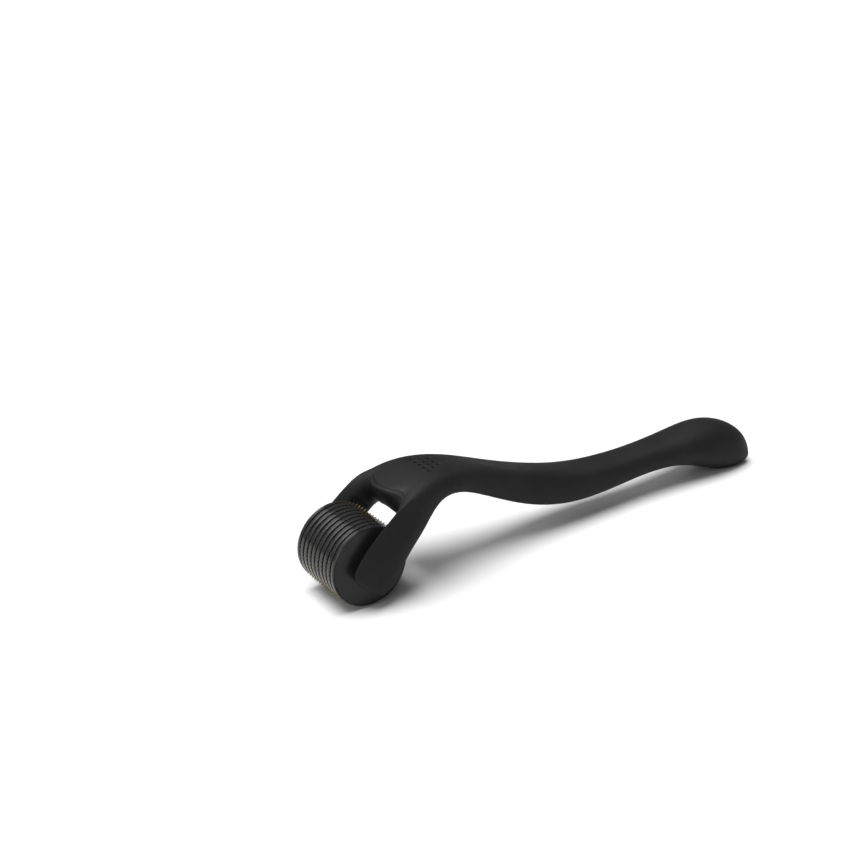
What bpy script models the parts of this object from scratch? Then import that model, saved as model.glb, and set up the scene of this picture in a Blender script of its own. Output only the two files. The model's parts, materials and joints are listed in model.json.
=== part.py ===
"""Micro-needle derma roller: a needle roller that spins between the two arms of a swan-neck handle.

Units are metres, +Z is up. The roller's axis runs along Y, the handle's tail points to +X, and the
object lies on the floor plane z = 0 on its needle tips and on the underside of its tail.
The origin is on the floor, below the middle of the object's length.
"""
import math

import bmesh
import bpy
import numpy as np
from mathutils import Matrix, Vector

MM = 0.001

# ---------------------------------------------------------------- overall layout
TOTAL_LENGTH = 165.1 * MM
NEEDLE_TIP_RADIUS = 12.95 * MM
AXIS_X = NEEDLE_TIP_RADIUS - TOTAL_LENGTH / 2
AXIS_Z = NEEDLE_TIP_RADIUS
FIT_GAP = 0.3 * MM

# ---------------------------------------------------------------- roller
DISC_COUNT = 9
NEEDLES_PER_DISC = 60
RING_PITCH = 2.17 * MM
DISC_THICKNESS = 0.25 * MM
NEEDLE_ROOT_RADIUS = 12.3 * MM
DRUM_RADIUS = 12.37 * MM
DRUM_WIDTH = 21.0 * MM
CORE_RADIUS = 9.0 * MM
AXLE_RADIUS = 1.2 * MM
AXLE_END = 12.8 * MM
HUB_BORE_RADIUS = AXLE_RADIUS + FIT_GAP
CAP_EDGE = 0.45 * MM
DRUM_SEGMENTS = 48
BORE_SEGMENTS = 24
HUB_SEGMENTS = 20
SPIN_MERGE = 0.01 * MM

# ---------------------------------------------------------------- arm ends
ARM_INNER_Y = 10.9 * MM
BUSH_RADIUS = 2.3 * MM
BUSH_EDGE = 0.3 * MM
BUSH_START_Y = 11.3 * MM
BUSH_END_Y = 13.1 * MM
SOCKET_END_Y = 13.4 * MM

# ---------------------------------------------------------------- handle
# Spine stations of the grip, from the neck to the tail: distance behind the roller axis, height of
# the spine over the floor, half height and half width of the section, and how round the section is.
GRIP_STATIONS = (
    (25.0, 30.3, 4.7, 11.6, 0.0),
    (36.0, 28.65, 4.0, 9.0, 0.0),
    (49.0, 22.3, 4.75, 7.8, 0.0),
    (63.0, 16.0, 5.85, 7.7, 0.0),
    (78.0, 11.85, 5.7, 7.55, 0.0),
    (94.0, 11.2, 4.6, 6.95, 0.1),
    (108.0, 11.8, 4.2, 6.4, 0.35),
    (122.0, 11.8, 5.2, 7.8, 0.75),
    (134.3, 10.55, 8.65, 9.7, 1.0),
    (145.0, 6.0, 8.8, 9.1, 1.0),
    (151.4, 1.9, 4.6, 6.2, 1.0),
)
# Stations of one arm, from its round end to the crotch: distance behind the roller axis, height,
# half height, inner and outer distance from the middle plane.
ARM_STATIONS = (
    (-2.3, 6.7, 6.1, 10.2, 15.6),
    (-0.7, 8.4, 8.4, 10.2, 15.8),
    (2.3, 12.5, 8.6, 10.2, 16.1),
    (6.5, 17.9, 7.7, 10.2, 16.3),
    (11.8, 22.7, 7.1, 10.1, 16.1),
)
# Arm section: sideways place of its rounded top and bottom as a share of the arm's width, and the
# heights of its points as shares of the half height.
ARM_RIDGE_Y = 0.5
ARM_RIDGE_HEIGHT = 1.0
ARM_DOME_Y = 0.5
ARM_DOME_HEIGHT = 1.1
ARM_INNER_FRONT = 0.5
ARM_INNER_REAR = 0.12
ARM_RIDGE_CREASE = 0.55
# Crotch section, where the two arms meet the grip: its place, its size, then how far its points are
# pulled forward or down from a plain section to form the front lip, the web and the arm roots.
CROTCH_X = 16.6
CROTCH_Z = 27.2
CROTCH_HALF_HEIGHT = 6.3
CROTCH_HALF_WIDTH = 14.0
CROTCH_INNER_Y = 8.6
CROTCH_SHOULDER_RISE = 1.2
LIP_REACH = 5.6
LIP_SIDE_SHARE = 0.35
LIP_DROP = 1.3
LIP_CREASE = 0.75
WEB_REACH = 7.0
WEB_RISE = 2.9
WEB_SIDE_REACH = 5.6
WEB_SIDE_DROP = 2.4
WEB_CREASE = 0.4
ARM_REAR_REACH = 1.3
ARM_REAR_DROP = 3.3
# Grip section: places of its shoulder and corner points as shares of the half width and half height,
# for a box-like and for a round section.
BOX_SHOULDER = (0.62, 0.98)
BOX_CORNER = (0.90, 0.72)
ROUND_SHOULDER = (0.53, 0.90)
ROUND_CORNER = (0.87, 0.52)
# Line that parts the two shells: how far it runs on past the arm ends and past the tail.
PARTING_ARM_RUN = 6.0
PARTING_TAIL_RUN = 12.0
PARTING_TAIL_DROP = 1.0
PARTING_STEPS = 4
MIRROR_MERGE = 0.05 * MM
HANDLE_LEVELS = 2

# ---------------------------------------------------------------- grip panel
PANEL_THICKNESS = 1.4 * MM
PANEL_START_X = 5.0 * MM
PANEL_END_X = 39.0 * MM
PANEL_HALF_WIDTH = 6.4 * MM
PANEL_END_STEPS = 12
DIMPLE_RADIUS = 0.7 * MM
DIMPLE_DEPTH = 0.5 * MM
DIMPLE_SEGMENTS = 10
DIMPLE_ROW_COUNTS = (5, 4, 3)
DIMPLE_FIRST_ROW_X = 25.0 * MM
DIMPLE_ROW_STEP = 2.35 * MM
DIMPLE_PITCH = 2.4 * MM
PANEL_PRISM_BOTTOM = 24.0 * MM
PANEL_PRISM_HEIGHT = 14.0 * MM

# ---------------------------------------------------------------- cutters
CUTTER_REACH = 60.0 * MM
FLOOR_BLOCK_HEIGHT = 5.0 * MM
ROLLER_CLEARANCE_RADIUS = 14.2 * MM

# ---------------------------------------------------------------- colours and roughness
SOFT_BLACK = (0.022, 0.022, 0.023)
SOFT_ROUGHNESS = 0.55
PANEL_BLACK = (0.018, 0.018, 0.019)
PANEL_ROUGHNESS = 0.5
GLOSS_BLACK = (0.012, 0.012, 0.013)
GLOSS_ROUGHNESS = 0.22
NEEDLE_GOLD = (0.72, 0.50, 0.18)
NEEDLE_ROUGHNESS = 0.28
STEEL_GREY = (0.55, 0.56, 0.58)
STEEL_ROUGHNESS = 0.3
BUSH_WHITE = (0.62, 0.61, 0.58)
BUSH_ROUGHNESS = 0.45
SMOOTH_ANGLE = math.radians(35.0)


def clear_scene():
    for obj in list(bpy.data.objects):
        bpy.data.objects.remove(obj, do_unlink=True)


def new_collection(name):
    collection = bpy.data.collections.new(name)
    bpy.context.scene.collection.children.link(collection)
    return collection


def principled(name, colour, roughness, metallic=0.0):
    material = bpy.data.materials.new(name)
    material.use_nodes = True
    shader = material.node_tree.nodes["Principled BSDF"]
    shader.inputs["Base Color"].default_value = (*colour, 1.0)
    shader.inputs["Roughness"].default_value = roughness
    shader.inputs["Metallic"].default_value = metallic
    return material


def object_from_bmesh(bm, name, collection, material=None):
    bmesh.ops.recalc_face_normals(bm, faces=bm.faces)
    mesh = bpy.data.meshes.new(name)
    bm.to_mesh(mesh)
    bm.free()
    obj = bpy.data.objects.new(name, mesh)
    collection.objects.link(obj)
    if material is not None:
        mesh.materials.append(material)
    return obj


def smooth_by_angle(obj):
    obj.data.shade_smooth()
    obj.data.set_sharp_from_angle(angle=SMOOTH_ANGLE)


def boolean(obj, operand, operation):
    modifier = obj.modifiers.new(operation.lower() + " " + operand.name, "BOOLEAN")
    modifier.operation = operation
    modifier.solver = "EXACT"
    modifier.object = operand


def hide_cutter(obj):
    obj.hide_render = True
    obj.display_type = "WIRE"


def baked(obj, name, collection, material=None):
    """A plain mesh object with obj's evaluated shape, in world space."""
    depsgraph = bpy.context.evaluated_depsgraph_get()
    mesh = bpy.data.meshes.new_from_object(obj.evaluated_get(depsgraph))
    mesh.transform(obj.matrix_world)
    mesh.name = name
    copy = bpy.data.objects.new(name, mesh)
    collection.objects.link(copy)
    mesh.materials.clear()
    if material is not None:
        mesh.materials.append(material)
    return copy


# ---------------------------------------------------------------- handle


def blend(first, second, share):
    """Points between first and second, share of the way along."""
    return [a + (b - a) * share for a, b in zip(first, second)]


def section_points(x, z, half_height, half_width, roundness, tilt):
    """Half of a soft rectangular section, from its top middle round the far side to its bottom."""
    along = Vector((-math.sin(tilt), 0.0, math.cos(tilt)))
    centre = Vector((x, 0.0, z))
    shoulder_y, shoulder_z = blend(BOX_SHOULDER, ROUND_SHOULDER, roundness)
    corner_y, corner_z = blend(BOX_CORNER, ROUND_CORNER, roundness)
    profile = (
        (0.0, 1.0),
        (shoulder_y, shoulder_z),
        (corner_y, corner_z),
        (1.0, 0.0),
        (corner_y, -corner_z),
        (shoulder_y, -shoulder_z),
        (0.0, -1.0),
    )
    return [centre + along * (v * half_height) + Vector((0.0, u * half_width, 0.0)) for u, v in profile]


def arm_points(x, z, half_height, inner, outer, tilt):
    """One arm's five-point section, from its inner front edge round the outer face to the rear."""
    along = Vector((-math.sin(tilt), 0.0, math.cos(tilt)))
    centre = Vector((x, 0.0, z))
    middle = inner + (outer - inner) * ARM_DOME_Y
    ridge = inner + (outer - inner) * ARM_RIDGE_Y
    profile = (
        (inner, ARM_INNER_FRONT),
        (ridge, ARM_RIDGE_HEIGHT),
        (outer, 0.0),
        (middle, -ARM_DOME_HEIGHT),
        (inner, -ARM_INNER_REAR),
    )
    return [centre + along * (v * half_height) + Vector((0.0, y, 0.0)) for y, v in profile]


def spine_tilts(points):
    """Slope angle of the spine at each point, from its neighbours."""
    xz = np.array(points)
    slopes = np.gradient(xz, axis=0)
    return [math.atan2(dz, dx) for dx, dz in slopes]


def spine():
    arm = [(x, z) for x, z, *_ in ARM_STATIONS]
    grip = [(x, z) for x, z, *_ in GRIP_STATIONS]
    return arm + [(CROTCH_X, CROTCH_Z)] + grip


def handle_cage(name, collection):
    """Coarse half cage of the forked handle, mirrored and subdivided into one smooth body."""
    tilts = spine_tilts(spine())
    arm_count = len(ARM_STATIONS)
    rings = []
    for station, tilt in zip(ARM_STATIONS, tilts):
        rings.append(arm_points(*station, tilt))
    crotch = section_points(CROTCH_X, CROTCH_Z, CROTCH_HALF_HEIGHT, CROTCH_HALF_WIDTH, 0.0,
                            tilts[arm_count])
    crotch[0] += Vector((-LIP_REACH, 0.0, -LIP_DROP))
    crotch[1] += Vector((-LIP_REACH * LIP_SIDE_SHARE, 0.0, -LIP_DROP / 2))
    crotch[1].y = CROTCH_INNER_Y
    crotch[2].z += CROTCH_SHOULDER_RISE
    crotch[4] += Vector((ARM_REAR_REACH, 0.0, -ARM_REAR_DROP))
    crotch[5] += Vector((-WEB_SIDE_REACH, 0.0, -WEB_SIDE_DROP))
    crotch[5].y = CROTCH_INNER_Y
    crotch[6] += Vector((-WEB_REACH, 0.0, WEB_RISE))
    grip = [section_points(*station, tilt) for station, tilt in zip(GRIP_STATIONS, tilts[arm_count + 1:])]

    bm = bmesh.new()

    def add_ring(points):
        return [bm.verts.new((AXIS_X + p.x * MM, p.y * MM, p.z * MM)) for p in points]

    arm_rings = [add_ring(points) for points in rings]
    crotch_ring = add_ring(crotch)
    grip_rings = [add_ring(points) for points in grip]

    def bridge(first, second, closed):
        count = len(first)
        for i in range(count if closed else count - 1):
            j = (i + 1) % count
            bm.faces.new((first[i], first[j], second[j], second[i]))

    arm_rings.append(crotch_ring[1:6])
    bm.faces.new(arm_rings[0])
    for first, second in zip(arm_rings, arm_rings[1:]):
        bridge(first, second, True)
    bm.faces.new((crotch_ring[0], crotch_ring[1], crotch_ring[5], crotch_ring[6]))
    for first, second in zip([crotch_ring] + grip_rings, grip_rings):
        bridge(first, second, False)
    tail = grip_rings[-1]
    bm.faces.new((tail[0], tail[1], tail[5], tail[6]))
    bm.faces.new((tail[1], tail[2], tail[4], tail[5]))
    bm.faces.new((tail[2], tail[3], tail[4]))

    crease = bm.edges.layers.float.new("crease_edge")
    bm.edges.get((crotch_ring[0], crotch_ring[1]))[crease] = LIP_CREASE
    bm.edges.get((crotch_ring[5], crotch_ring[6]))[crease] = WEB_CREASE
    for first, second in zip(arm_rings, arm_rings[1:]):
        bm.edges.get((first[1], second[1]))[crease] = ARM_RIDGE_CREASE
    obj = object_from_bmesh(bm, name, collection)
    mirror = obj.modifiers.new("both sides", "MIRROR")
    mirror.use_axis = (False, True, False)
    mirror.merge_threshold = MIRROR_MERGE
    mirror.use_clip = True
    subsurf = obj.modifiers.new("soft form", "SUBSURF")
    subsurf.levels = HANDLE_LEVELS
    subsurf.render_levels = HANDLE_LEVELS
    return obj


def extrude_flat(bm, verts, offset):
    """Close verts as one flat face and extrude it by offset into a prism."""
    extruded = bmesh.ops.extrude_face_region(bm, geom=[bm.faces.new(verts)])
    moved = [item for item in extruded["geom"] if isinstance(item, bmesh.types.BMVert)]
    bmesh.ops.translate(bm, verts=moved, vec=offset)


def box(name, collection, size, centre):
    bm = bmesh.new()
    bmesh.ops.create_cube(bm, size=1.0, matrix=Matrix.Diagonal((*size, 1.0)))
    obj = object_from_bmesh(bm, name, collection)
    obj.location = centre
    return obj


def parting_path():
    """Smooth side line that parts the two handle shells, from below the arm end to behind the tail."""
    points = spine()
    (x0, z0), (x1, z1) = points[:2]
    first = (2 * x0 - x1 - PARTING_ARM_RUN, 2 * z0 - z1 - PARTING_ARM_RUN)
    last = (points[-1][0] + PARTING_TAIL_RUN, points[-1][1] - PARTING_TAIL_DROP)
    knots = np.array([first] + points + [last])
    knots = np.vstack([2 * knots[0] - knots[1], knots, 2 * knots[-1] - knots[-2]])
    path = []
    for p0, p1, p2, p3 in zip(knots, knots[1:], knots[2:], knots[3:]):
        for step in range(PARTING_STEPS):
            t = step / PARTING_STEPS
            path.append(0.5 * (2 * p1 + (p2 - p0) * t + (2 * p0 - 5 * p1 + 4 * p2 - p3) * t ** 2
                               + (3 * p1 - p0 - 3 * p2 + p3) * t ** 3))
    path.append(knots[-2])
    return path


def parting_cutter(name, collection, side):
    """Wide block above (side 1) or below (side -1) the parting line, set off by half the fit gap."""
    reach = CUTTER_REACH / MM
    path = np.array(parting_path())
    directions = np.gradient(path, axis=0)
    directions /= np.linalg.norm(directions, axis=1)[:, None]
    normals = np.stack([-directions[:, 1], directions[:, 0]], axis=1)
    edge = path - normals * side * FIT_GAP / MM / 2
    corners = [(edge[-1][0], side * reach), (edge[0][0], side * reach)]
    outline = [tuple(point) for point in edge] + corners
    bm = bmesh.new()
    verts = [bm.verts.new((AXIS_X + x * MM, -CUTTER_REACH / 2, z * MM)) for x, z in outline]
    extrude_flat(bm, verts, (0.0, CUTTER_REACH, 0.0))
    obj = object_from_bmesh(bm, name, collection)
    hide_cutter(obj)
    return obj


def cylinder_y(name, collection, radius, start, end, segments, x=AXIS_X, z=AXIS_Z, material=None):
    """Solid cylinder along Y, its object origin on its own axis."""
    bm = bmesh.new()
    turn = Matrix.Rotation(math.radians(90.0), 4, "X")
    bmesh.ops.create_cone(bm, cap_ends=True, segments=segments, radius1=radius, radius2=radius,
                          depth=end - start, matrix=turn)
    obj = object_from_bmesh(bm, name, collection, material)
    obj.location = (x, (start + end) / 2, z)
    return obj


def panel_outline(grow):
    """Plan outline of the grip panel, a strip with a round rear end."""
    half = PANEL_HALF_WIDTH + grow
    centre = PANEL_END_X - PANEL_HALF_WIDTH
    points = [(PANEL_START_X, -half)]
    for i in range(PANEL_END_STEPS + 1):
        angle = -math.pi / 2 + math.pi * i / PANEL_END_STEPS
        points.append((centre + half * math.cos(angle), half * math.sin(angle)))
    points.append((PANEL_START_X, half))
    return points


def panel_prism(name, collection, grow):
    bm = bmesh.new()
    verts = [bm.verts.new((AXIS_X + x, y, PANEL_PRISM_BOTTOM)) for x, y in panel_outline(grow)]
    extrude_flat(bm, verts, (0.0, 0.0, PANEL_PRISM_HEIGHT))
    obj = object_from_bmesh(bm, name, collection)
    hide_cutter(obj)
    return obj


def lowered_copy(handle, name, collection, depth):
    copy = baked(handle, name, collection)
    copy.location.z = -depth
    hide_cutter(copy)
    return copy


def dimple_cutter(name, collection, surface):
    """Staggered rows of short upright pins that press round dimples into the panel's top."""
    bm = bmesh.new()
    for row, count in enumerate(DIMPLE_ROW_COUNTS):
        x = AXIS_X + DIMPLE_FIRST_ROW_X + row * DIMPLE_ROW_STEP
        for i in range(count):
            y = (i - (count - 1) / 2) * DIMPLE_PITCH
            top = surface_height(surface, x, y)
            place = Matrix.Translation((x, y, top))
            bmesh.ops.create_cone(bm, cap_ends=True, segments=DIMPLE_SEGMENTS, radius1=DIMPLE_RADIUS,
                                  radius2=DIMPLE_RADIUS, depth=2 * DIMPLE_DEPTH, matrix=place)
    obj = object_from_bmesh(bm, name, collection)
    hide_cutter(obj)
    return obj


def surface_height(surface, x, y):
    """Height of the body's top at (x, y), from a ray cast straight down."""
    hit, point, _, _ = surface.ray_cast(Vector((x, y, CUTTER_REACH)), Vector((0.0, 0.0, -1.0)))
    return point.z if hit else AXIS_Z


def build_handle(parts, cutters):
    soft = principled("soft touch plastic", SOFT_BLACK, SOFT_ROUGHNESS)
    panel_plastic = principled("grip panel plastic", PANEL_BLACK, PANEL_ROUGHNESS)
    cage = handle_cage("handle form", cutters)
    bpy.context.view_layer.update()
    form = baked(cage, "handle body", cutters)
    bpy.data.objects.remove(cage)
    bpy.context.view_layer.update()

    floor_block = box("floor block", cutters, (TOTAL_LENGTH, CUTTER_REACH, FLOOR_BLOCK_HEIGHT),
                      (0.0, 0.0, -FLOOR_BLOCK_HEIGHT / 2))
    fork_gap = cylinder_y("fork gap", cutters, ROLLER_CLEARANCE_RADIUS, -ARM_INNER_Y, ARM_INNER_Y,
                          DRUM_SEGMENTS)
    sockets = [
        cylinder_y("axle socket left", cutters, BUSH_RADIUS + FIT_GAP, -SOCKET_END_Y, -ARM_INNER_Y + MM,
                   HUB_SEGMENTS),
        cylinder_y("axle socket right", cutters, BUSH_RADIUS + FIT_GAP, ARM_INNER_Y - MM, SOCKET_END_Y,
                   HUB_SEGMENTS),
    ]
    for cutter in sockets + [fork_gap, floor_block]:
        hide_cutter(cutter)
    shells = {}
    for name, side in (("handle_upper_shell", -1), ("handle_lower_shell", 1)):
        shell = baked(form, name, parts, soft)
        boolean(shell, parting_cutter("parting of " + name, cutters, side), "DIFFERENCE")
        boolean(shell, fork_gap, "DIFFERENCE")
        for socket in sockets:
            boolean(shell, socket, "DIFFERENCE")
        shells[name] = shell
    boolean(shells["handle_lower_shell"], floor_block, "DIFFERENCE")

    pocket = panel_prism("panel pocket", cutters, FIT_GAP)
    boolean(pocket, lowered_copy(form, "pocket floor", cutters, PANEL_THICKNESS + FIT_GAP), "DIFFERENCE")
    boolean(shells["handle_upper_shell"], pocket, "DIFFERENCE")

    panel = baked(form, "grip_panel", parts, panel_plastic)
    boolean(panel, panel_prism("panel prism", cutters, 0.0), "INTERSECT")
    boolean(panel, lowered_copy(form, "panel floor", cutters, PANEL_THICKNESS), "DIFFERENCE")
    boolean(panel, dimple_cutter("grip dimples", cutters, form), "DIFFERENCE")
    for obj in (*shells.values(), panel):
        smooth_by_angle(obj)
    bpy.context.view_layer.update()
    hide_cutter(form)


# ---------------------------------------------------------------- roller


def turned(name, collection, material, profile, segments, y):
    """A turned ring or disc: its (radius, width) profile spun round the roller axis at place y."""
    bm = bmesh.new()
    verts = [bm.verts.new((radius, 0.0, width)) for radius, width in profile]
    for first, second in zip(verts, verts[1:] + verts[:1]):
        bm.edges.new((first, second))
    mesh = bpy.data.meshes.new(name)
    bm.to_mesh(mesh)
    bm.free()
    mesh.materials.append(material)
    obj = bpy.data.objects.new(name, mesh)
    collection.objects.link(obj)
    screw = obj.modifiers.new("turned", "SCREW")
    screw.axis = "Z"
    screw.steps = segments
    screw.render_steps = segments
    screw.use_merge_vertices = True
    screw.merge_threshold = SPIN_MERGE
    screw.use_normal_calculate = False
    obj.rotation_euler = (math.radians(-90.0), 0.0, 0.0)
    obj.location = (AXIS_X, y, AXIS_Z)
    smooth_by_angle(obj)
    return obj


def plain_profile(inner, outer, width):
    """Square ring section, running down its outer side."""
    half = width / 2
    return ((inner, half), (outer, half), (outer, -half), (inner, -half))


def bevelled_profile(inner, outer, width, edge):
    """Ring section with its two outer edges bevelled, running down its outer side."""
    half = width / 2
    return (
        (inner, half),
        (outer - edge, half),
        (outer, half - edge),
        (outer, edge - half),
        (outer - edge, -half),
        (inner, -half),
    )


def needle_disc(name, collection, material, y):
    """Thin stamped disc with a crown of needles and a round bore."""
    bm = bmesh.new()
    outline = []
    for i in range(2 * NEEDLES_PER_DISC):
        angle = math.pi * i / NEEDLES_PER_DISC
        radius = NEEDLE_TIP_RADIUS if i % 2 == 0 else NEEDLE_ROOT_RADIUS
        outline.append((radius, angle))
    bore = [(CORE_RADIUS + FIT_GAP, 2 * math.pi * i / BORE_SEGMENTS) for i in range(BORE_SEGMENTS)]

    def circle(points, z):
        return [bm.verts.new((r * math.sin(a), -r * math.cos(a), z)) for r, a in points]

    loops = []
    for z in (-DISC_THICKNESS / 2, DISC_THICKNESS / 2):
        loops.append((circle(outline, z), circle(bore, z)))
    steps = len(outline) // len(bore)
    for outer, inner in loops:
        for i in range(len(inner)):
            j = (i + 1) % len(inner)
            teeth = [outer[(i * steps + k) % len(outer)] for k in range(steps + 1)]
            bm.faces.new(teeth + [inner[j], inner[i]])
    for k in (0, 1):
        low, high = loops[0][k], loops[1][k]
        for i in range(len(low)):
            j = (i + 1) % len(low)
            bm.faces.new((low[i], low[j], high[j], high[i]))
    obj = object_from_bmesh(bm, name, collection, material)
    obj.rotation_euler = (math.radians(-90.0), 0.0, 0.0)
    obj.location = (AXIS_X, y, AXIS_Z)
    return obj


def build_roller(parts):
    gloss = principled("gloss black plastic", GLOSS_BLACK, GLOSS_ROUGHNESS)
    gold = principled("gold coated needle steel", NEEDLE_GOLD, NEEDLE_ROUGHNESS, 1.0)
    first_y = -(DISC_COUNT - 1) / 2 * RING_PITCH
    disc_span = DISC_THICKNESS + 2 * FIT_GAP
    ring_width = RING_PITCH - disc_span
    outer_disc_y = -first_y + disc_span / 2
    cap_width = DRUM_WIDTH / 2 - outer_disc_y
    for i in range(DISC_COUNT):
        needle_disc("needle_disc_%d" % (i + 1), parts, gold, first_y + i * RING_PITCH)
    ring = plain_profile(CORE_RADIUS + FIT_GAP, DRUM_RADIUS, ring_width)
    for i in range(DISC_COUNT - 1):
        ring_y = first_y + (i + 0.5) * RING_PITCH
        turned("spacer_ring_%d" % (i + 1), parts, gloss, ring, DRUM_SEGMENTS, ring_y)
    cap = bevelled_profile(HUB_BORE_RADIUS, DRUM_RADIUS, cap_width, CAP_EDGE)
    for name, side in (("end_cap_left", -1), ("end_cap_right", 1)):
        turned(name, parts, gloss, cap, DRUM_SEGMENTS, side * (DRUM_WIDTH - cap_width) / 2)
    core_width = 2 * (outer_disc_y - FIT_GAP)
    core = plain_profile(HUB_BORE_RADIUS, CORE_RADIUS, core_width)
    turned("roller_core", parts, gloss, core, DRUM_SEGMENTS, 0.0)


def build_axle(parts):
    steel = principled("axle steel", STEEL_GREY, STEEL_ROUGHNESS, 1.0)
    bush_plastic = principled("bush plastic", BUSH_WHITE, BUSH_ROUGHNESS)
    axle = cylinder_y("axle", parts, AXLE_RADIUS, -AXLE_END, AXLE_END, HUB_SEGMENTS, material=steel)
    smooth_by_angle(axle)
    bush_width = BUSH_END_Y - BUSH_START_Y
    bush = bevelled_profile(HUB_BORE_RADIUS, BUSH_RADIUS, bush_width, BUSH_EDGE)
    for name, side in (("axle_bush_left", -1), ("axle_bush_right", 1)):
        turned(name, parts, bush_plastic, bush, HUB_SEGMENTS, side * (BUSH_START_Y + BUSH_END_Y) / 2)


def build():
    clear_scene()
    parts = new_collection("derma_roller")
    cutters = new_collection("derma_roller_cutters")
    build_handle(parts, cutters)
    build_axle(parts)
    build_roller(parts)


build()
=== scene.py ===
"""Looks of the derma roller: a soft-touch black swan-neck handle and a gloss black drum with gold needles.

Lengths are in metres in the CAD frame unless a name or comment says millimetres.
"""
import json
import math

import bmesh
import bpy
import numpy as np
from mathutils import Euler, Matrix, Vector
from mathutils.bvhtree import BVHTree


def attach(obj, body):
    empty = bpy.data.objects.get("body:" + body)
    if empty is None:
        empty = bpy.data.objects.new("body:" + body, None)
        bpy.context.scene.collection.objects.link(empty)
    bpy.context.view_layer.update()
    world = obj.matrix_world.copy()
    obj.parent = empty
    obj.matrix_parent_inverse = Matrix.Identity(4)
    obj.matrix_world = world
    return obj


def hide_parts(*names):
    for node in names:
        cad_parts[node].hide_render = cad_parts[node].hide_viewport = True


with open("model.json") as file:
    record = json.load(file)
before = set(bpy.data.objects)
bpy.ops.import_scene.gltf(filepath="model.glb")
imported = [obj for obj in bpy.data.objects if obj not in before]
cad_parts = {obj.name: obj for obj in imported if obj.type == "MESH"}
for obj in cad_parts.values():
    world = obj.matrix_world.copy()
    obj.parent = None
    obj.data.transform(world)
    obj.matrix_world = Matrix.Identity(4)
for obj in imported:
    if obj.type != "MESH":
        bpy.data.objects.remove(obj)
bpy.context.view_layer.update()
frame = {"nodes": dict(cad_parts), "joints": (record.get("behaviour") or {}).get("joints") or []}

MM = 0.001
PIVOT = Vector(frame["joints"][0]["pos_m"])
AXIS_X, AXIS_Z = PIVOT.x, PIVOT.z

# ---------------------------------------------------------------- handle dimensions, millimetres
# Grip: distance behind the roller axis, height, half height and half width of each section, and
# its roundness from 0 (soft box) to 1 (oval).
GRIP_STATIONS = (
    (25.0, 30.3, 4.7, 11.6, 0.0),
    (36.0, 28.65, 4.0, 9.0, 0.0),
    (49.0, 22.3, 4.75, 7.8, 0.0),
    (63.0, 16.0, 5.85, 7.7, 0.0),
    (78.0, 11.85, 5.7, 7.55, 0.0),
    (94.0, 11.2, 4.6, 6.95, 0.1),
    (108.0, 11.8, 4.2, 6.4, 0.35),
    (122.0, 11.8, 5.2, 7.8, 0.75),
    (134.3, 10.55, 8.65, 9.7, 1.0),
    (145.0, 6.0, 8.8, 9.1, 1.0),
    (151.4, 1.9, 4.6, 6.2, 1.0),
)
# Arm: distance behind the roller axis, height, half height, inner and outer distance from the middle.
ARM_STATIONS = (
    (-2.3, 6.7, 6.1, 10.2, 15.6),
    (-0.7, 8.4, 8.4, 10.2, 15.8),
    (2.3, 12.5, 8.6, 10.2, 16.1),
    (6.5, 17.9, 7.7, 10.2, 16.3),
    (11.8, 22.7, 7.1, 10.1, 16.1),
)
# Section corners, as shares of the half width and the half height.
BOX_SHOULDER = (0.62, 0.98)
BOX_CORNER = (0.90, 0.72)
ROUND_SHOULDER = (0.53, 0.90)
ROUND_CORNER = (0.87, 0.52)
# Arm section: places as shares of the arm's width, heights as shares of its half height.
ARM_RIDGE_Y = 0.5
ARM_RIDGE_HEIGHT = 1.0
ARM_DOME_Y = 0.5
ARM_DOME_HEIGHT = 1.1
ARM_INNER_FRONT = 0.5
ARM_INNER_REAR = 0.12
# Crotch: the section where both arms join, with its front lip and the web behind the drum.
CROTCH = (16.6, 27.2)
CROTCH_HALF_HEIGHT = 6.3
CROTCH_HALF_WIDTH = 14.0
CROTCH_INNER_Y = 8.6
CROTCH_SHOULDER_RISE = 1.2
LIP_REACH = 5.6
LIP_SIDE_SHARE = 0.35
LIP_DROP = 1.3
WEB_REACH = 7.0
WEB_RISE = 2.9
WEB_SIDE_REACH = 5.6
WEB_SIDE_DROP = 2.4
ARM_REAR_REACH = 1.3
ARM_REAR_DROP = 3.3
# Edge creases, 0 soft to 1 sharp.
LIP_CREASE = 0.75
WEB_CREASE = 0.4
ARM_RIDGE_CREASE = 0.55
# Times the rough form is smoothed, and the distance at which its two mirrored halves join.
FORM_LEVELS = 4
MIRROR_MERGE = 0.05
# Edges steeper than this, in degrees, stay sharp.
SHELL_SHARP_ANGLE = 40.0

# Cuts: the space for the drum between the arms, and the blind sockets of the axle bushes.
FORK_RADIUS = 14.2
FORK_SEGMENTS = 160
ARM_INNER_Y = 10.9
SOCKET_RADIUS = 2.6
SOCKET_SEGMENTS = 64
SOCKET_START_Y = 10.3
SOCKET_END_Y = 13.4

# Parting line: the gap it cuts, and how far the cut runs past the form's sides and ends.
PARTING_GAP = 0.02
PARTING_HALF_WIDTH = 30.0
PARTING_FRONT_REACH = 6.0
PARTING_REAR_REACH = 12.0
PARTING_REAR_DROP = 1.0
PARTING_STEPS = 8

# ---------------------------------------------------------------- grip panel, millimetres
# Outline: its rear end behind the roller axis, its half widths, how soon it reaches the rear one,
# how square its rear corners are, and the share of its length where its width is last taken.
PANEL_REAR = 39.0
PANEL_FRONT_HALF_WIDTH = 9.3
PANEL_REAR_HALF_WIDTH = 6.4
PANEL_TAPER_RATE = 1.8
PANEL_CORNER_POWER = 7
PANEL_REAR_SHARE = 0.9995
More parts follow.
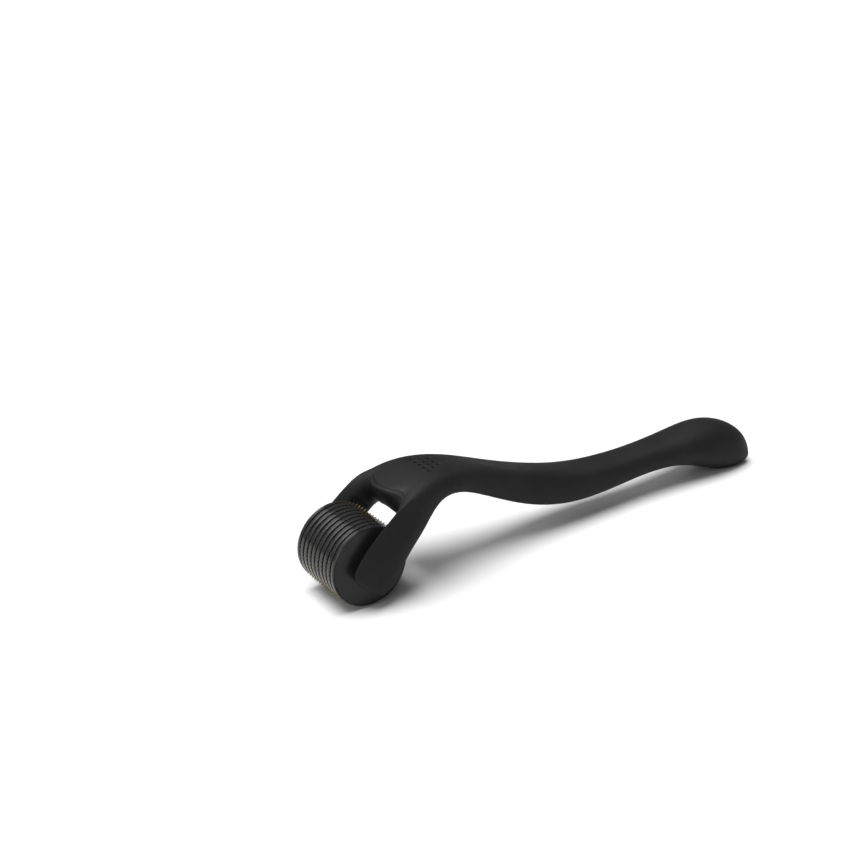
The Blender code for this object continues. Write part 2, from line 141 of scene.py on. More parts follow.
# Steps along and across, the skin's thickness, and how its edges turn down.
PANEL_STEPS = (230, 130)
PANEL_THICKNESS = 0.9
PANEL_EDGE_WIDTH = 0.6
PANEL_EDGE_DROP = 0.3
PANEL_FRONT_TUCK = 0.35
PANEL_FRONT_GAP = 0.12
PANEL_SHARP_ANGLE = 60.0
# The lip's front edge is the first place, in this range and step, where the top is this high.
LIP_SEARCH = (6.0, 24.0, 0.1)
LIP_TOP = 28.5
# Height above the whole object, from which its top is measured.
RAY_START = 60.0
# Front rim with the groove behind it, and rows of pressed dimples.
RIM_WIDTH = 1.15
RIM_GROOVE_WIDTH = 0.24
RIM_GROOVE_DEPTH = 0.34
DIMPLE_RADIUS = 0.74
DIMPLE_DEPTH = 0.7
DIMPLE_WALL_SHARE = 0.35
DIMPLE_ROW_COUNTS = (5, 4, 3)
DIMPLE_FIRST_ROW = 25.0
DIMPLE_ROW_STEP = 2.35
DIMPLE_PITCH = 2.4
# The form sinks under the panel: by how much, over which distances inside the panel's edge, and
# how far up a surface has to face to sink.
BED_DEPTH = 0.9
BED_WALL = (0.25, 0.95)
BED_LEAST_UP = 0.3

# ---------------------------------------------------------------- roller dimensions, millimetres
DISC_COUNT = 9
RING_PITCH = 2.17
DRUM_RADIUS = 12.37
DRUM_WIDTH = 21.0
DRUM_BORE_RADIUS = 9.3
RING_WIDTH = 1.5
RING_EDGE_RADIUS = 0.12
RING_EDGE_STEPS = 4
RING_SEGMENTS = 128
DRUM_SHARP_ANGLE = 30.0

# Needle discs: a flat plate, and needles that narrow at a neck and end in a point.
DISC_RADIUS = 12.0
DISC_HALF_THICKNESS = 0.09
NEEDLES_PER_DISC = 60
PLATE_STEPS_PER_NEEDLE = 3
NEEDLE_HALF_WIDTH = 0.13
NEEDLE_SINK = 0.1
NEEDLE_NECK_RADIUS = 12.32
NEEDLE_NECK_WIDTH_SHARE = 0.8
NEEDLE_NECK_THICKNESS_SHARE = 0.9
NEEDLE_TIP_RADIUS = 12.945
NEEDLE_SHARP_ANGLE = 20.0
# Each disc is turned against the one before, in shares of the needle pitch.
STAGGER_ALTERNATE = 0.5
STAGGER_DRIFT = 0.07

# End caps: a gloss rim and a satin face with a seam between them.
CAP_GAP = 0.31
CAP_SEGMENTS = 160
CAP_FACE_RADIUS = 11.85
CAP_FACE_BORE = 1.5
CAP_SEAM = 0.14

# ---------------------------------------------------------------- studio, metres and degrees
# Lens and sensor are in millimetres.
CAMERA_LENS = 69.07
CAMERA_SENSOR = 36.0
CAMERA_CLIP = (0.01, 20.0)
# Forward, sideways and up from the floor point under the roller axis.
CAMERA_FROM_AXLE = (-0.20388, -0.3667, 0.23812)
CAMERA_ANGLES = (66.08, 2.41, -33.29)
FLOOR_HALF_SIZE = 3.0
WORLD_STRENGTH = 0.07
# Name, direction towards the light, strength, angular size. Strengths are in watts a square metre.
OVERHEAD_LIGHTS = (
    ("overhead light", (-0.18, 0.0, 1.0), 4.9, 40.0),
    ("wide overhead light", (-0.7, 0.05, 1.0), 1.9, 96.0),
)
# Name, place, target, width and height, power in watts.
SOFTBOXES = (
    ("rear softbox", (-0.25, 0.72, 0.75), (-0.07, 0.0, 0.02), (0.7, 0.4), 1.7),
    ("left softbox", (-0.64, -0.66, 0.22), (-0.07, 0.0, 0.01), (0.35, 0.35), 1.0),
)


def new_object(bm, name):
    """Scene object made from bm, which is freed."""
    mesh = bpy.data.meshes.new(name)
    bmesh.ops.recalc_face_normals(bm, faces=bm.faces)
    bm.to_mesh(mesh)
    bm.free()
    obj = bpy.data.objects.new(name, mesh)
    bpy.context.scene.collection.objects.link(obj)
    return obj


def bake(obj):
    """Apply the object's modifiers to its mesh."""
    bpy.context.view_layer.update()
    evaluated = obj.evaluated_get(bpy.context.evaluated_depsgraph_get())
    mesh = bpy.data.meshes.new_from_object(evaluated)
    obj.modifiers.clear()
    obj.data = mesh
    return obj


def smooth(obj, degrees):
    """Shade smooth, with edges steeper than degrees kept sharp."""
    obj.data.shade_smooth()
    obj.data.set_sharp_from_angle(angle=math.radians(degrees))


def subtract(obj, cutter):
    """Cut the cutter out of obj and remove the cutter."""
    modifier = obj.modifiers.new("cut", "BOOLEAN")
    modifier.operation = "DIFFERENCE"
    modifier.solver = "EXACT"
    modifier.object = cutter
    bake(obj)
    bpy.data.objects.remove(cutter)


# ---------------------------------------------------------------- materials
# Noise scales are per metre, and bump distances are in metres.


class Nodes:
    """Small helper that adds and links shader nodes of one material."""

    def __init__(self, name):
        self.material = bpy.data.materials.new(name)
        self.material.use_nodes = True
        self.tree = self.material.node_tree
        self.shader = self.tree.nodes["Principled BSDF"]
        self.coordinates = self.tree.nodes.new("ShaderNodeTexCoord").outputs["Object"]

    def link(self, source, target):
        self.tree.links.new(source, target)

    def mapped(self, scale):
        node = self.tree.nodes.new("ShaderNodeMapping")
        node.inputs["Scale"].default_value = scale
        self.link(self.coordinates, node.inputs["Vector"])
        return node.outputs["Vector"]

    def noise(self, scale, detail, vector=None):
        node = self.tree.nodes.new("ShaderNodeTexNoise")
        node.inputs["Scale"].default_value = scale
        node.inputs["Detail"].default_value = detail
        self.link(vector or self.coordinates, node.inputs["Vector"])
        return node.outputs["Fac"]

    def radius(self):
        """Distance from the piece's own Y axis, as a vector's X part."""
        flat = self.mapped((1.0, 0.0, 1.0))
        length = self.tree.nodes.new("ShaderNodeVectorMath")
        length.operation = "LENGTH"
        self.link(flat, length.inputs[0])
        joined = self.tree.nodes.new("ShaderNodeCombineXYZ")
        self.link(length.outputs["Value"], joined.inputs["X"])
        return joined.outputs["Vector"]

    def ranged(self, value, low, high):
        """A number between low and high that follows the middle part of a noise value."""
        node = self.tree.nodes.new("ShaderNodeMapRange")
        node.inputs["From Min"].default_value = 0.3
        node.inputs["From Max"].default_value = 0.7
        node.inputs["To Min"].default_value = low
        node.inputs["To Max"].default_value = high
        self.link(value, node.inputs["Value"])
        return node.outputs["Result"]

    def ramp(self, value, first, second):
        """A colour between first and second that follows the middle part of a noise value."""
        node = self.tree.nodes.new("ShaderNodeValToRGB")
        node.color_ramp.elements[0].position = 0.35
        node.color_ramp.elements[1].position = 0.65
        node.color_ramp.elements[0].color = (*first, 1.0)
        node.color_ramp.elements[1].color = (*second, 1.0)
        self.link(value, node.inputs["Fac"])
        return node.outputs["Color"]

    def bump(self, height, distance, strength=1.0, normal=None):
        node = self.tree.nodes.new("ShaderNodeBump")
        node.inputs["Distance"].default_value = distance
        node.inputs["Strength"].default_value = strength
        self.link(height, node.inputs["Height"])
        if normal is not None:
            self.link(normal, node.inputs["Normal"])
        return node.outputs["Normal"]

    def finish(self, colour, roughness, normal=None, metallic=0.0, **sockets):
        """The finished material; sockets names further shader inputs, spaces as underscores."""
        self.link(colour, self.shader.inputs["Base Color"])
        self.link(roughness, self.shader.inputs["Roughness"])
        if normal is not None:
            self.link(normal, self.shader.inputs["Normal"])
        self.shader.inputs["Metallic"].default_value = metallic
        for name, value in sockets.items():
            self.shader.inputs[name.replace("_", " ")].default_value = value
        return self.material


def soft_touch(name, dark, light, rough):
    """Near-black rubbery coating with a fine grain and faint handling marks."""
    n = Nodes(name)
    clouds = n.noise(60.0, 4.0)
    grain = n.noise(5200.0, 2.0)
    handling = n.noise(220.0, 3.0)
    colour = n.ramp(clouds, dark, light)
    roughness = n.ranged(handling, rough - 0.05, rough + 0.05)
    coarse = n.bump(n.noise(900.0, 2.0), 0.00001, 0.5)
    return n.finish(colour, roughness, n.bump(grain, 0.000012, 0.8, coarse), Specular_IOR_Level=0.12)


def drum_gloss(name):
    """Gloss black plastic with turning marks round the drum."""
    n = Nodes(name)
    turned = n.noise(1.0, 3.0, n.mapped((60.0, 9000.0, 60.0)))
    specks = n.noise(2600.0, 2.0)
    colour = n.ramp(n.noise(300.0, 3.0), (0.010, 0.010, 0.011), (0.017, 0.017, 0.018))
    roughness = n.ranged(specks, 0.17, 0.26)
    return n.finish(colour, roughness, n.bump(turned, 0.000012, 0.5), Specular_IOR_Level=0.34)


def cap_satin(name):
    """Satin black plastic with faint rings round the axle."""
    n = Nodes(name)
    rings = n.noise(4200.0, 2.0, n.radius())
    colour = n.ramp(n.noise(180.0, 3.0), (0.0078, 0.0078, 0.0084), (0.0112, 0.0112, 0.0120))
    roughness = n.ranged(n.noise(900.0, 3.0), 0.32, 0.38)
    return n.finish(colour, roughness, n.bump(rings, 0.000003, 0.4), Specular_IOR_Level=0.22)


def needle_gold(name):
    """Dull gold coating on metal."""
    n = Nodes(name)
    colour = n.ramp(n.noise(1500.0, 3.0), (0.17, 0.12, 0.045), (0.36, 0.265, 0.10))
    roughness = n.ranged(n.noise(4000.0, 2.0), 0.2, 0.36)
    return n.finish(colour, roughness, n.bump(n.noise(7000.0, 1.0), 0.000006, 0.6), metallic=1.0)


def axle_steel(name):
    """Ground steel with turning marks."""
    n = Nodes(name)
    turned = n.noise(1.0, 3.0, n.mapped((80.0, 7000.0, 80.0)))
    colour = n.ramp(n.noise(500.0, 3.0), (0.48, 0.49, 0.51), (0.62, 0.63, 0.65))
    return n.finish(colour, n.ranged(turned, 0.22, 0.36), n.bump(turned, 0.000008, 0.6), metallic=1.0)


def bush_plastic(name):
    """Off-white bearing plastic."""
    n = Nodes(name)
    colour = n.ramp(n.noise(350.0, 3.0), (0.56, 0.55, 0.51), (0.66, 0.65, 0.62))
    roughness = n.ranged(n.noise(1200.0, 2.0), 0.36, 0.5)
    return n.finish(colour, roughness, n.bump(n.noise(4000.0, 2.0), 0.000008))


def studio_floor(name):
    """Pale matt floor."""
    n = Nodes(name)
    colour = n.ramp(n.noise(12.0, 2.0), (0.545, 0.545, 0.545), (0.565, 0.565, 0.565))
    return n.finish(colour, n.ranged(n.noise(40.0, 2.0), 0.5, 0.6))


# ---------------------------------------------------------------- handle


def blend(first, second, share):
    """Points between first and second, share of the way along."""
    return [a + (b - a) * share for a, b in zip(first, second)]


def section_points(x, z, half_height, half_width, roundness, tilt):
    """Half of a soft rectangular section, from its top middle round the far side to its bottom."""
    along = Vector((-math.sin(tilt), 0.0, math.cos(tilt)))
    centre = Vector((x, 0.0, z))
    shoulder_y, shoulder_z = blend(BOX_SHOULDER, ROUND_SHOULDER, roundness)
    corner_y, corner_z = blend(BOX_CORNER, ROUND_CORNER, roundness)
    profile = (
        (0.0, 1.0),
        (shoulder_y, shoulder_z),
        (corner_y, corner_z),
        (1.0, 0.0),
        (corner_y, -corner_z),
        (shoulder_y, -shoulder_z),
        (0.0, -1.0),
    )
    return [centre + along * (v * half_height) + Vector((0.0, u * half_width, 0.0)) for u, v in profile]


def arm_points(x, z, half_height, inner, outer, tilt):
    """One arm's five-point section, from its inner front edge round the outer face to the rear."""
    along = Vector((-math.sin(tilt), 0.0, math.cos(tilt)))
    centre = Vector((x, 0.0, z))
    middle = inner + (outer - inner) * ARM_DOME_Y
    ridge = inner + (outer - inner) * ARM_RIDGE_Y
    profile = (
        (inner, ARM_INNER_FRONT),
        (ridge, ARM_RIDGE_HEIGHT),
        (outer, 0.0),
        (middle, -ARM_DOME_HEIGHT),
        (inner, -ARM_INNER_REAR),
    )
    return [centre + along * (v * half_height) + Vector((0.0, y, 0.0)) for y, v in profile]


def spine():
    """Middle line of the handle, from the arm's end to the tail, as (x, z) in mm."""
    arm = [(x, z) for x, z, *_ in ARM_STATIONS]
    grip = [(x, z) for x, z, *_ in GRIP_STATIONS]
    return arm + [CROTCH] + grip


def spine_tilts(points):
    """Slope angle of the middle line at each of its points."""
    slopes = np.gradient(np.array(points), axis=0)
    return [math.atan2(dz, dx) for dx, dz in slopes]


def handle_form():
    """The whole forked handle as one smooth dense body."""
    tilts = spine_tilts(spine())
    arm_count = len(ARM_STATIONS)
    crotch = section_points(*CROTCH, CROTCH_HALF_HEIGHT, CROTCH_HALF_WIDTH, 0.0, tilts[arm_count])
    crotch[0] += Vector((-LIP_REACH, 0.0, -LIP_DROP))
    crotch[1] += Vector((-LIP_REACH * LIP_SIDE_SHARE, 0.0, -LIP_DROP / 2))
    crotch[1].y = CROTCH_INNER_Y
    crotch[2].z += CROTCH_SHOULDER_RISE
    crotch[4] += Vector((ARM_REAR_REACH, 0.0, -ARM_REAR_DROP))
    crotch[5] += Vector((-WEB_SIDE_REACH, 0.0, -WEB_SIDE_DROP))
    crotch[5].y = CROTCH_INNER_Y
    crotch[6] += Vector((-WEB_REACH, 0.0, WEB_RISE))
    bm = bmesh.new()

    def add_ring(points):
        return [bm.verts.new((AXIS_X + p.x * MM, p.y * MM, p.z * MM)) for p in points]

    def bridge(first, second, closed):
        count = len(first)
        for i in range(count if closed else count - 1):
            j = (i + 1) % count
            bm.faces.new((first[i], first[j], second[j], second[i]))

    arm_rings = [add_ring(arm_points(*s, t)) for s, t in zip(ARM_STATIONS, tilts)]
    crotch_ring = add_ring(crotch)
    grip = [section_points(*s, t) for s, t in zip(GRIP_STATIONS, tilts[arm_count + 1:])]
    grip_rings = [add_ring(points) for points in grip]
    arm_rings.append(crotch_ring[1:6])
    bm.faces.new(arm_rings[0])
    for first, second in zip(arm_rings, arm_rings[1:]):
        bridge(first, second, True)
    bm.faces.new((crotch_ring[0], crotch_ring[1], crotch_ring[5], crotch_ring[6]))
    for first, second in zip([crotch_ring] + grip_rings, grip_rings):
        bridge(first, second, False)
    tail = grip_rings[-1]
    bm.faces.new((tail[0], tail[1], tail[5], tail[6]))
    bm.faces.new((tail[1], tail[2], tail[4], tail[5]))
    bm.faces.new((tail[2], tail[3], tail[4]))
    crease = bm.edges.layers.float.new("crease_edge")
    bm.edges.get((crotch_ring[0], crotch_ring[1]))[crease] = LIP_CREASE
    bm.edges.get((crotch_ring[5], crotch_ring[6]))[crease] = WEB_CREASE
    for first, second in zip(arm_rings, arm_rings[1:]):
        bm.edges.get((first[1], second[1]))[crease] = ARM_RIDGE_CREASE

    form = new_object(bm, "handle_form")
    mirror = form.modifiers.new("both sides", "MIRROR")
    mirror.use_axis = (False, True, False)
    mirror.merge_threshold = MIRROR_MERGE * MM
    mirror.use_clip = True
    subsurf = form.modifiers.new("soft form", "SUBSURF")
    subsurf.levels = FORM_LEVELS
    subsurf.render_levels = FORM_LEVELS
    return bake(form)


def top_height(tree, x, y):
    """Height in metres of the form's upper side at (x, y), or None beside it."""
    point = tree.ray_cast(Vector((x, y, RAY_START * MM)), Vector((0.0, 0.0, -1.0)))[0]
    return None if point is None else point.z


def lip_front(tree, y):
    """Where the top's front lip ends, in millimetres behind the roller axis, at distance y (mm)."""
    x, end, step = LIP_SEARCH
    while x < end:
        z = top_height(tree, AXIS_X + x * MM, y * MM)
        if z is not None and z > LIP_TOP * MM:
            return x
        x += step
    return x


def panel_half_width(share):
    """Half width in mm, share of the way from the panel's front to its rounded rear."""
    taper = min(1.0, share * PANEL_TAPER_RATE)
    width = PANEL_FRONT_HALF_WIDTH + (PANEL_REAR_HALF_WIDTH - PANEL_FRONT_HALF_WIDTH) * taper
    return width * math.sqrt(max(0.0, 1.0 - share ** PANEL_CORNER_POWER))


def dimple_centres():
    """Centres of the staggered dimples, as rows of (x, y) in mm."""
    centres = []
    for row, count in enumerate(DIMPLE_ROW_COUNTS):
        for i in range(count):
            centres.append((DIMPLE_FIRST_ROW + row * DIMPLE_ROW_STEP, (i - (count - 1) / 2) * DIMPLE_PITCH))
    return np.array(centres)


def smoothstep(value, low, high):
    """0 at low, 1 at high, with a soft start and end between."""
    t = np.clip((value - low) / (high - low), 0.0, 1.0)
    return t * t * (3.0 - 2.0 * t)


def grip_panel(tree, material):
    """Thumb panel over the hump: a dense skin with a raised front rim and pressed dimples."""
    columns, rows = PANEL_STEPS
    lips = [lip_front(tree, PANEL_FRONT_HALF_WIDTH * (2.0 * j / rows - 1.0)) + PANEL_FRONT_GAP
            for j in range(rows + 1)]
    centres = dimple_centres()
    bm = bmesh.new()
    grid = []
    for i in range(columns + 1):
        share = i / columns
        half_width = panel_half_width(min(share, PANEL_REAR_SHARE))
        row = []
        for j in range(rows + 1):
            across = 2.0 * j / rows - 1.0
            y = across * half_width
            x = lips[j] + (PANEL_REAR - lips[j]) * share
            z = top_height(tree, AXIS_X + x * MM, y * MM) / MM
            from_edge = min((1.0 - abs(across)) * half_width, PANEL_REAR - x)
            edge = 1.0 - float(smoothstep(from_edge, 0.0, PANEL_EDGE_WIDTH))
            drop = PANEL_EDGE_DROP * edge ** 3
            drop += RIM_GROOVE_DEPTH * math.exp(-((x - lips[j] - RIM_WIDTH) / RIM_GROOVE_WIDTH) ** 2)
            nearest = np.min(np.hypot(centres[:, 0] - x, centres[:, 1] - y))
            drop += DIMPLE_DEPTH * float(smoothstep(1.0 - nearest / DIMPLE_RADIUS, 0.0, DIMPLE_WALL_SHARE))
            if i == 0:
                drop += PANEL_FRONT_TUCK
            row.append(bm.verts.new((AXIS_X + x * MM, y * MM, (z - drop) * MM)))
        grid.append(row)
    for first, second in zip(grid, grid[1:]):
        for a, b, c, d in zip(first, first[1:], second[1:], second):
            bm.faces.new((a, b, c, d))
    panel = new_object(bm, "grip_panel_skin")
    if panel.data.polygons[len(panel.data.polygons) // 2].normal.z < 0:
        panel.data.flip_normals()
    solidify = panel.modifiers.new("thickness", "SOLIDIFY")
    solidify.thickness = PANEL_THICKNESS * MM
    solidify.offset = -1.0
    bake(panel)
    smooth(panel, PANEL_SHARP_ANGLE)
    panel.data.materials.append(material)
    return panel, lips


def sink_under_panel(form, lips):
    """Lower the form's top below the panel, so the dimples and the groove have room."""
    mesh = form.data
    count = len(mesh.vertices)
    points = np.empty(count * 3, np.float32)
    normals = np.empty(count * 3, np.float32)
    mesh.vertices.foreach_get("co", points)
    mesh.vertices.foreach_get("normal", normals)
    points = points.reshape(-1, 3)
    normals = normals.reshape(-1, 3)
    x = (points[:, 0] - AXIS_X) / MM
    y = points[:, 1] / MM
    lip_y = np.linspace(-PANEL_FRONT_HALF_WIDTH, PANEL_FRONT_HALF_WIDTH, len(lips))
    front = np.interp(y, lip_y, lips)
    share = np.clip((x - front) / (PANEL_REAR - front), 0.0, 1.0)
    half = np.array([panel_half_width(s) for s in share])
    inside = np.minimum(half - np.abs(y), np.minimum(x - front, PANEL_REAR - x))
    depth = BED_DEPTH * smoothstep(inside, *BED_WALL) * (normals[:, 2] > BED_LEAST_UP)
    points[:, 2] -= depth * MM
    points[:, 2] = np.maximum(points[:, 2], 0.0)
    mesh.vertices.foreach_set("co", points.reshape(-1))
    mesh.update()


def parting_ribbon():
    """Thin sheet along the side parting line of the two shells."""
    points = spine()
    (x0, z0), (x1, z1) = points[:2]
    first = (2 * x0 - x1 - PARTING_FRONT_REACH, 2 * z0 - z1 - PARTING_FRONT_REACH)
    last = (points[-1][0] + PARTING_REAR_REACH, points[-1][1] - PARTING_REAR_DROP)
    knots = np.array([first] + points + [last])
    knots = np.vstack([2 * knots[0] - knots[1], knots, 2 * knots[-1] - knots[-2]])
    path = []
    for p0, p1, p2, p3 in zip(knots, knots[1:], knots[2:], knots[3:]):
        for t in np.linspace(0.0, 1.0, PARTING_STEPS, endpoint=False):
            path.append(0.5 * (2 * p1 + (p2 - p0) * t + (2 * p0 - 5 * p1 + 4 * p2 - p3) * t ** 2
                               + (3 * p1 - p0 - 3 * p2 + p3) * t ** 3))
    path = np.array(path)
    directions = np.gradient(path, axis=0)
    directions /= np.linalg.norm(directions, axis=1)[:, None]
    normals = np.stack([-directions[:, 1], directions[:, 0]], axis=1) * PARTING_GAP / 2
    outline = list(path + normals) + list(path - normals)[::-1]
    bm = bmesh.new()
    near = [bm.verts.new((AXIS_X + x * MM, -PARTING_HALF_WIDTH * MM, z * MM)) for x, z in outline]
    far = [bm.verts.new((AXIS_X + x * MM, PARTING_HALF_WIDTH * MM, z * MM)) for x, z in outline]
    count = len(outline)
    half = count // 2
    for i in range(count):
        j = (i + 1) % count
        bm.faces.new((near[i], near[j], far[j], far[i]))
    for ring in (near, far):
        for i in range(half - 1):
            bm.faces.new((ring[i], ring[i + 1], ring[count - 2 - i], ring[count - 1 - i]))
    return new_object(bm, "parting_ribbon")


def cylinder_y(name, radius, start, end, segments):
    """Cylinder about the roller axis; radius and its ends along Y are in mm."""
    bm = bmesh.new()
    turn = Matrix.Rotation(math.radians(90.0), 4, "X")
    place = Matrix.Translation((AXIS_X, (start + end) / 2 * MM, AXIS_Z)) @ turn
    bmesh.ops.create_cone(bm, cap_ends=True, segments=segments, radius1=radius * MM, radius2=radius * MM,
                          depth=(end - start) * MM, matrix=place)
    return new_object(bm, name)


def loose_parts(obj):
    """Vertex numbers of the two largest separate bodies of obj's mesh, as two sets."""
    bm = bmesh.new()
    bm.from_mesh(obj.data)
    bm.verts.ensure_lookup_table()
    seen = set()
    groups = []
    for start in bm.verts:
        if start.index in seen:
            continue
        stack = [start]
        group = set()
        seen.add(start.index)
        while stack:
            vert = stack.pop()
            group.add(vert.index)
            for edge in vert.link_edges:
                other = edge.other_vert(vert)
                if other.index not in seen:
                    seen.add(other.index)
                    stack.append(other)
        groups.append(group)
    bm.free()
    return sorted(groups, key=len, reverse=True)[:2]


def body_object(obj, keep, name):
    """New object from the vertices of obj whose numbers are in keep."""
    bm = bmesh.new()
    bm.from_mesh(obj.data)
    bm.verts.ensure_lookup_table()
    bmesh.ops.delete(bm, geom=[v for v in bm.verts if v.index not in keep], context="VERTS")
    return new_object(bm, name)


def build_handle(materials):
    """Two handle shells and the thumb panel, all riding on the handle body."""
    form = handle_form()
    tree = BVHTree.FromObject(form, bpy.context.evaluated_depsgraph_get())
    panel, lips = grip_panel(tree, materials["panel"])
    sink_under_panel(form, lips)
    subtract(form, cylinder_y("fork_gap", FORK_RADIUS, -ARM_INNER_Y, ARM_INNER_Y, FORK_SEGMENTS))
    for name, side in (("socket_left", -1), ("socket_right", 1)):
        start, end = sorted((side * SOCKET_START_Y, side * SOCKET_END_Y))
        subtract(form, cylinder_y(name, SOCKET_RADIUS, start, end, SOCKET_SEGMENTS))
    subtract(form, parting_ribbon())
    shells = [body_object(form, keep, "shell") for keep in loose_parts(form)]
    bpy.data.objects.remove(form)
    shells.sort(key=lambda obj: sum(v.co.z for v in obj.data.vertices) / len(obj.data.vertices))
    for shell, name, node in zip(shells, ("handle_lower", "handle_upper"),
                                 ("handle_lower_shell", "handle_upper_shell")):
        shell.name = name
        shell.data.name = name
        smooth(shell, SHELL_SHARP_ANGLE)
        shell.data.materials.append(materials["handle"])
        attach(shell, "handle")
        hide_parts(node)
    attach(panel, "handle")
    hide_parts("grip_panel")


# ---------------------------------------------------------------- roller


def turned(name, profile, segments, y, material):
    """Closed (radius, width) profile in mm spun round the roller axis; its object sits at place y (mm)."""
    bm = bmesh.new()
    rings = []
    for i in range(segments):
        angle = 2 * math.pi * i / segments
        x = math.cos(angle)
        z = math.sin(angle)
        rings.append([bm.verts.new((r * x * MM, w * MM, r * z * MM)) for r, w in profile])
    for first, second in zip(rings, rings[1:] + rings[:1]):
        for k in range(len(profile)):
            m = (k + 1) % len(profile)
            bm.faces.new((first[k], first[m], second[m], second[k]))
    obj = new_object(bm, name)
    obj.location = (AXIS_X, y * MM, AXIS_Z)
    smooth(obj, DRUM_SHARP_ANGLE)
    obj.data.materials.append(material)
    return obj


def rounded_ring(inner, outer, width, edge):
    """Ring section whose two outer edges are quarter rounds."""
    half = width / 2
    profile = [(inner, half)]
    for side in (1, -1):
        for k in range(RING_EDGE_STEPS + 1):
            angle = math.pi / 2 * k / RING_EDGE_STEPS
            if side == -1:
                angle = math.pi / 2 - angle
            radius = outer - edge + edge * math.sin(angle)
            profile.append((radius, side * (half - edge + edge * math.cos(angle))))
    profile.append((inner, -half))
    return profile


def cap_rim_profile(width, side):
    """Gloss outer band of an end cap, chamfered towards the satin face."""
    half = width / 2
    profile = [
        (DRUM_BORE_RADIUS, half - 0.55),
        (CAP_FACE_RADIUS + CAP_SEAM, half - 0.45),
        (CAP_FACE_RADIUS + CAP_SEAM, half - 0.16),
        (CAP_FACE_RADIUS + CAP_SEAM + 0.08, half - 0.1),
        (DRUM_RADIUS - 0.16, half - 0.22),
        (DRUM_RADIUS, half - 0.38),
        (DRUM_RADIUS, -half + 0.1),
        (DRUM_RADIUS - 0.1, -half),
        (DRUM_BORE_RADIUS, -half),
    ]
    return [(r, side * w) for r, w in profile]


def cap_face_profile(width, side):
    """Slightly dished satin end face with a soft outer edge."""
    half = width / 2
    profile = [
        (CAP_FACE_BORE, half - 0.5),
        (CAP_FACE_BORE, half - 0.12),
        (3.2, half - 0.1),
        (CAP_FACE_RADIUS - 0.5, half - 0.02),
        (CAP_FACE_RADIUS - 0.12, half - 0.06),
        (CAP_FACE_RADIUS, half - 0.2),
        (CAP_FACE_RADIUS, half - 0.5),
    ]
    return [(r, side * w) for r, w in profile]


def needle_disc(name, y, stagger, material):
    """Thin plate with a crown of slender pointed needles."""
    half = DISC_HALF_THICKNESS
    pitch = 2 * math.pi / NEEDLES_PER_DISC
    step = pitch / PLATE_STEPS_PER_NEEDLE
    bm = bmesh.new()

    def vert(radius, angle, width):
        return bm.verts.new((radius * math.cos(angle) * MM, width * MM, radius * math.sin(angle) * MM))

    rings = []
    for i in range(NEEDLES_PER_DISC * PLATE_STEPS_PER_NEEDLE):
        angle = stagger + (i - 1) * step
        rings.append([vert(DRUM_BORE_RADIUS, angle, half), vert(DISC_RADIUS, angle, half),
                      vert(DISC_RADIUS, angle, -half), vert(DRUM_BORE_RADIUS, angle, -half)])
    for i, first in enumerate(rings):
        second = rings[(i + 1) % len(rings)]
        for k in range(4):
            m = (k + 1) % 4
            bm.faces.new((first[k], first[m], second[m], second[k]))
    corners = ((-1, 1), (1, 1), (1, -1), (-1, -1))
    spread = NEEDLE_HALF_WIDTH / DISC_RADIUS
    neck_spread = spread * NEEDLE_NECK_WIDTH_SHARE
    neck_half = half * NEEDLE_NECK_THICKNESS_SHARE
    for i in range(NEEDLES_PER_DISC):
        angle = stagger + i * pitch + step / 2
        base = [vert(DISC_RADIUS - NEEDLE_SINK, angle + a * spread, w * half) for a, w in corners]
        neck = [vert(NEEDLE_NECK_RADIUS, angle + a * neck_spread, w * neck_half) for a, w in corners]
        tip = vert(NEEDLE_TIP_RADIUS, angle, 0.0)
        bm.faces.new(base)
        for k in range(4):
            m = (k + 1) % 4
            bm.faces.new((base[k], base[m], neck[m], neck[k]))
            bm.faces.new((neck[k], neck[m], tip))
    obj = new_object(bm, name)
    obj.location = (AXIS_X, y * MM, AXIS_Z)
    smooth(obj, NEEDLE_SHARP_ANGLE)
    obj.data.materials.append(material)
    return obj


def build_roller(materials):
    """Needle discs, spacer rings and end caps, all riding on the roller body."""
    first = -(DISC_COUNT - 1) / 2 * RING_PITCH
    pitch = 2 * math.pi / NEEDLES_PER_DISC

    def settle(obj, node):
        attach(obj, "roller")
        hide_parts(node)

    for i in range(DISC_COUNT):
        stagger = pitch * (STAGGER_ALTERNATE * (i % 2) + STAGGER_DRIFT * i)
        disc = needle_disc("needles_%d" % (i + 1), first + i * RING_PITCH, stagger, materials["gold"])
        settle(disc, "needle_disc_%d" % (i + 1))
    ring = rounded_ring(DRUM_BORE_RADIUS, DRUM_RADIUS, RING_WIDTH, RING_EDGE_RADIUS)
    for i in range(DISC_COUNT - 1):
        place = first + (i + 0.5) * RING_PITCH
        piece = turned("ring_%d" % (i + 1), ring, RING_SEGMENTS, place, materials["drum"])
        settle(piece, "spacer_ring_%d" % (i + 1))
    inner_face = -first + CAP_GAP
    width = DRUM_WIDTH / 2 - inner_face
    for side, label, node in ((-1, "left", "end_cap_left"), (1, "right", "end_cap_right")):
        place = side * (inner_face + width / 2)
        rim_profile = cap_rim_profile(width, side)
        face_profile = cap_face_profile(width, side)
        rim = turned("cap_rim_" + label, rim_profile, CAP_SEGMENTS, place, materials["drum"])
        face = turned("cap_face_" + label, face_profile, CAP_SEGMENTS, place, materials["cap"])
        settle(rim, node)
        settle(face, node)


def paint_cad_nodes(materials):
    """Looks of the inner pieces that stay as the CAD made them."""
    looks = {"axle": "steel", "axle_bush_left": "bush", "axle_bush_right": "bush", "roller_core": "cap"}
    for node, look in looks.items():
        obj = frame["nodes"][node]
        if not obj.material_slots:
            obj.data.materials.append(materials[look])
        for slot in obj.material_slots:
            slot.material = materials[look]


# ---------------------------------------------------------------- studio


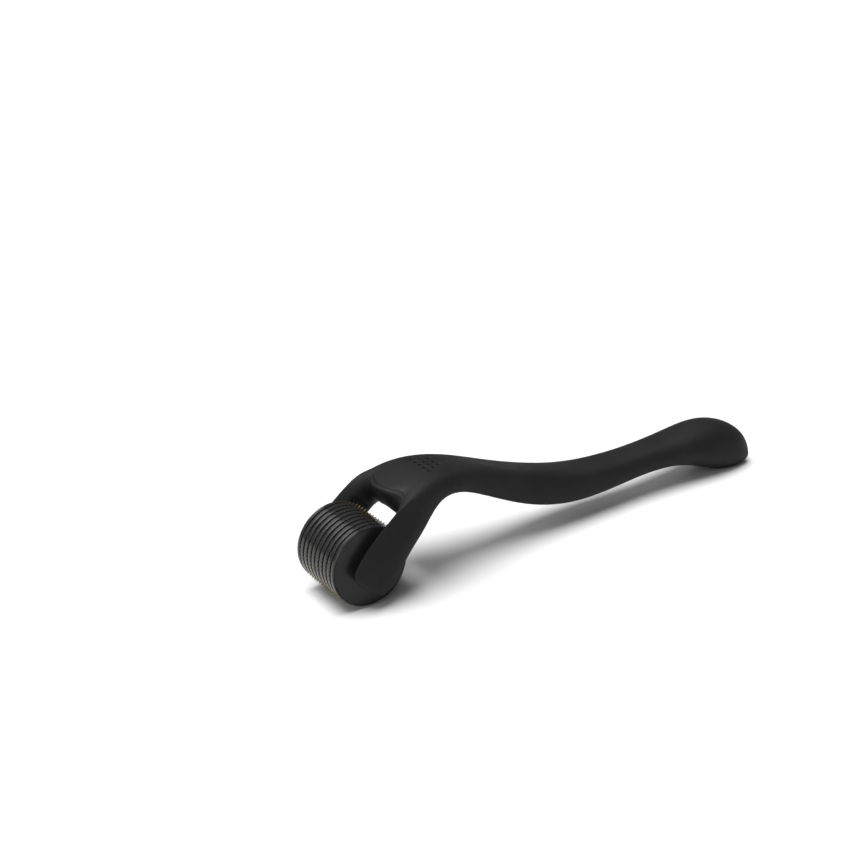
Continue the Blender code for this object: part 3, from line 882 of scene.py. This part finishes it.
def build_studio(materials):
    """Floor, faint even world light, overhead lights and softboxes."""
    bm = bmesh.new()
    bmesh.ops.create_grid(bm, x_segments=1, y_segments=1, size=FLOOR_HALF_SIZE)
    floor = new_object(bm, "studio_floor")
    floor.data.materials.append(materials["floor"])

    world = bpy.data.worlds.new("studio world")
    bpy.context.scene.world = world
    world.use_nodes = True
    background = world.node_tree.nodes["Background"]
    background.inputs["Color"].default_value = (1.0, 1.0, 1.0, 1.0)
    background.inputs["Strength"].default_value = WORLD_STRENGTH

    for name, direction, strength, angle in OVERHEAD_LIGHTS:
        data = bpy.data.lights.new(name, "SUN")
        data.energy = strength
        data.angle = math.radians(angle)
        light = bpy.data.objects.new(name, data)
        bpy.context.scene.collection.objects.link(light)
        light.rotation_euler = Vector(direction).to_track_quat("Z", "Y").to_euler()

    for name, place, target, size, power in SOFTBOXES:
        data = bpy.data.lights.new(name, "AREA")
        data.shape = "RECTANGLE"
        data.size, data.size_y = size
        data.energy = power
        light = bpy.data.objects.new(name, data)
        bpy.context.scene.collection.objects.link(light)
        light.location = place
        aim = Vector(target) - Vector(place)
        light.rotation_euler = aim.to_track_quat("-Z", "Y").to_euler()


def build_camera():
    """Camera of the reference view, placed from the roller axis."""
    data = bpy.data.cameras.new("camera")
    data.sensor_width = CAMERA_SENSOR
    data.lens = CAMERA_LENS
    data.clip_start, data.clip_end = CAMERA_CLIP
    camera = bpy.data.objects.new("camera", data)
    bpy.context.scene.collection.objects.link(camera)
    camera.location = Vector((AXIS_X, 0.0, 0.0)) + Vector(CAMERA_FROM_AXLE)
    camera.rotation_euler = Euler([math.radians(a) for a in CAMERA_ANGLES])
    bpy.context.scene.camera = camera


def main():
    materials = {
        "handle": soft_touch("soft_touch_black", (0.0083, 0.0083, 0.0088), (0.0109, 0.0109, 0.0116), 0.58),
        "panel": soft_touch("panel_black", (0.0083, 0.0083, 0.0088), (0.0109, 0.0109, 0.0116), 0.58),
        "drum": drum_gloss("drum_gloss_black"),
        "cap": cap_satin("cap_satin_black"),
        "gold": needle_gold("needle_gold_metal"),
        "steel": axle_steel("axle_steel_metal"),
        "bush": bush_plastic("bush_white_plastic"),
        "floor": studio_floor("floor_white"),
    }
    build_handle(materials)
    build_roller(materials)
    paint_cad_nodes(materials)
    build_studio(materials)
    build_camera()
    bpy.context.scene.view_settings.view_transform = "Standard"


main()
